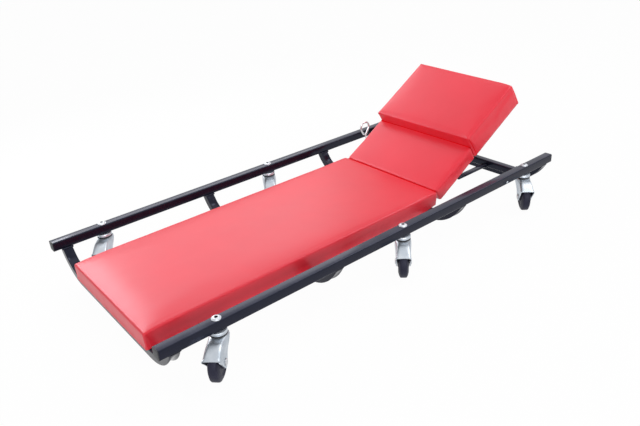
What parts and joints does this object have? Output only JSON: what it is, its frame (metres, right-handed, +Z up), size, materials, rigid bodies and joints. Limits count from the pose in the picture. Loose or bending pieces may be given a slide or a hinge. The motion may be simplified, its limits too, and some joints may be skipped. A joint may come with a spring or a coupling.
{
  "type": "mechanic creeper",
  "caption": "Low padded creeper with a square-tube frame, bent crossbars, a tilting headrest on a wire stand and swivel casters.",
  "frame": {"origin": "on the floor, below the middle of the whole creeper's box", "axes": "+X along the rails from the foot end to the head end, +Y from the near side to the far side, +Z up"},
  "size_m": [1.016, 0.5148, 0.2549],
  "materials": {
    "black_powder_coat": "gloss",
    "red_vinyl": "satin",
    "plywood": "matte",
    "zinc_plate": "gloss",
    "steel": "satin",
    "chrome_wire": "polished",
    "wheel_polymer": "satin",
    "black_plastic": "satin"
  },
  "bodies": {
    "frame": {"caster_bolt_foot_far": "zinc_plate", "caster_bolt_foot_near": "zinc_plate", "caster_bolt_head_far": "zinc_plate", "caster_bolt_head_near": "zinc_plate", "caster_bolt_mid_far": "zinc_plate", "caster_bolt_mid_near": "zinc_plate", "crossbar_foot": "black_powder_coat", "crossbar_head": "black_powder_coat", "crossbar_mid_foot": "black_powder_coat", "crossbar_mid_head": "black_powder_coat", "head_crossbar": "black_powder_coat", "hinge_welt": "red_vinyl", "lock_nut_foot_far": "zinc_plate", "lock_nut_foot_near": "zinc_plate", "lock_nut_head_far": "zinc_plate", "lock_nut_head_near": "zinc_plate", "lock_nut_mid_far": "zinc_plate", "lock_nut_mid_near": "zinc_plate", "main_board": "plywood", "main_cushion": "red_vinyl", "race_cup_foot_far": "zinc_plate", "race_cup_foot_near": "zinc_plate", "race_cup_head_far": "zinc_plate", "race_cup_head_near": "zinc_plate", "race_cup_mid_far": "zinc_plate", "race_cup_mid_near": "zinc_plate", "rail_far": "black_powder_coat", "rail_near": "black_powder_coat", "rail_plug_foot_far": "black_plastic", "rail_plug_foot_near": "black_plastic", "rail_plug_head_far": "black_plastic", "rail_plug_head_near": "black_plastic", "rail_rivet": "zinc_plate", "support_bar_far": "black_powder_coat", "support_bar_near": "black_powder_coat"},
    "headrest": {"headrest_board": "plywood", "neck_cushion": "red_vinyl", "head_pillow": "red_vinyl", "stand_clip_far": "zinc_plate", "stand_clip_near": "zinc_plate"},
    "stand": {"wire_stand": "chrome_wire"},
    "caster_foot_near": {"fork_foot_near": "zinc_plate", "axle_foot_near": "steel"},
    "wheel_foot_near": {"wheel_foot_near": "wheel_polymer"},
    "caster_foot_far": {"fork_foot_far": "zinc_plate", "axle_foot_far": "steel"},
    "wheel_foot_far": {"wheel_foot_far": "wheel_polymer"},
    "caster_mid_near": {"fork_mid_near": "zinc_plate", "axle_mid_near": "steel"},
    "wheel_mid_near": {"wheel_mid_near": "wheel_polymer"},
    "caster_mid_far": {"fork_mid_far": "zinc_plate", "axle_mid_far": "steel"},
    "wheel_mid_far": {"wheel_mid_far": "wheel_polymer"},
    "caster_head_near": {"fork_head_near": "zinc_plate", "axle_head_near": "steel"},
    "wheel_head_near": {"wheel_head_near": "wheel_polymer"},
    "caster_head_far": {"fork_head_far": "zinc_plate", "axle_head_far": "steel"},
    "wheel_head_far": {"wheel_head_far": "wheel_polymer"}
  },
  "joints": [
    {"name": "headrest_tilt", "type": "hinge", "parent": "frame", "child": "headrest", "pos_m": [0.206, 0.01647, 0.075], "axis": [0, -1, 0], "range_deg": [0, 21]},
    {"name": "stand_swing", "type": "hinge", "parent": "headrest", "child": "stand", "pos_m": [0.30248, 0.01647, 0.09207], "axis": [0, 1, 0], "range_deg": [0, 67.04]},
    {"name": "swivel_foot_near", "type": "hinge", "parent": "frame", "child": "caster_foot_near", "pos_m": [-0.4014, -0.20803, 0.077], "axis": [0, 0, 1], "continuous": true},
    {"name": "spin_foot_near", "type": "hinge", "parent": "caster_foot_near", "child": "wheel_foot_near", "pos_m": [-0.42061, -0.22658, 0.03175], "axis": [0.6947, -0.7193, 0], "continuous": true},
    {"name": "swivel_foot_far", "type": "hinge", "parent": "frame", "child": "caster_foot_far", "pos_m": [-0.4014, 0.24097, 0.077], "axis": [0, 0, 1], "continuous": true},
    {"name": "spin_foot_far", "type": "hinge", "parent": "caster_foot_far", "child": "wheel_foot_far", "pos_m": [-0.41784, 0.21993, 0.03175], "axis": [0.788, -0.6157, 0], "continuous": true},
    {"name": "swivel_mid_near", "type": "hinge", "parent": "frame", "child": "caster_mid_near", "pos_m": [0.01825, -0.20803, 0.077], "axis": [0, 0, 1], "continuous": true},
    {"name": "spin_mid_near", "type": "hinge", "parent": "caster_mid_near", "child": "wheel_mid_near", "pos_m": [-0.00063, -0.22691, 0.03175], "axis": [0.7071, -0.7071, 0], "continuous": true},
    {"name": "swivel_mid_far", "type": "hinge", "parent": "frame", "child": "caster_mid_far", "pos_m": [0.01825, 0.24097, 0.077], "axis": [0, 0, 1], "continuous": true},
    {"name": "spin_mid_far", "type": "hinge", "parent": "caster_mid_far", "child": "wheel_mid_far", "pos_m": [0.0039, 0.21845, 0.03175], "axis": [0.8434, -0.5373, 0], "continuous": true},
    {"name": "swivel_head_near", "type": "hinge", "parent": "frame", "child": "caster_head_near", "pos_m": [0.4115, -0.20803, 0.077], "axis": [0, 0, 1], "continuous": true},
    {"name": "spin_head_near", "type": "hinge", "parent": "caster_head_near", "child": "wheel_head_near", "pos_m": [0.39295, -0.22724, 0.03175], "axis": [0.7193, -0.6947, 0], "continuous": true},
    {"name": "swivel_head_far", "type": "hinge", "parent": "frame", "child": "caster_head_far", "pos_m": [0.4115, 0.24097, 0.077], "axis": [0, 0, 1], "continuous": true},
    {"name": "spin_head_far", "type": "hinge", "parent": "caster_head_far", "child": "wheel_head_far", "pos_m": [0.39619, 0.2191, 0.03175], "axis": [0.8192, -0.5736, 0], "continuous": true}
  ],
  "couplings": [
    {"joint": "stand_swing", "follows": "headrest_tilt", "ratio": 3.1924}
  ]
}
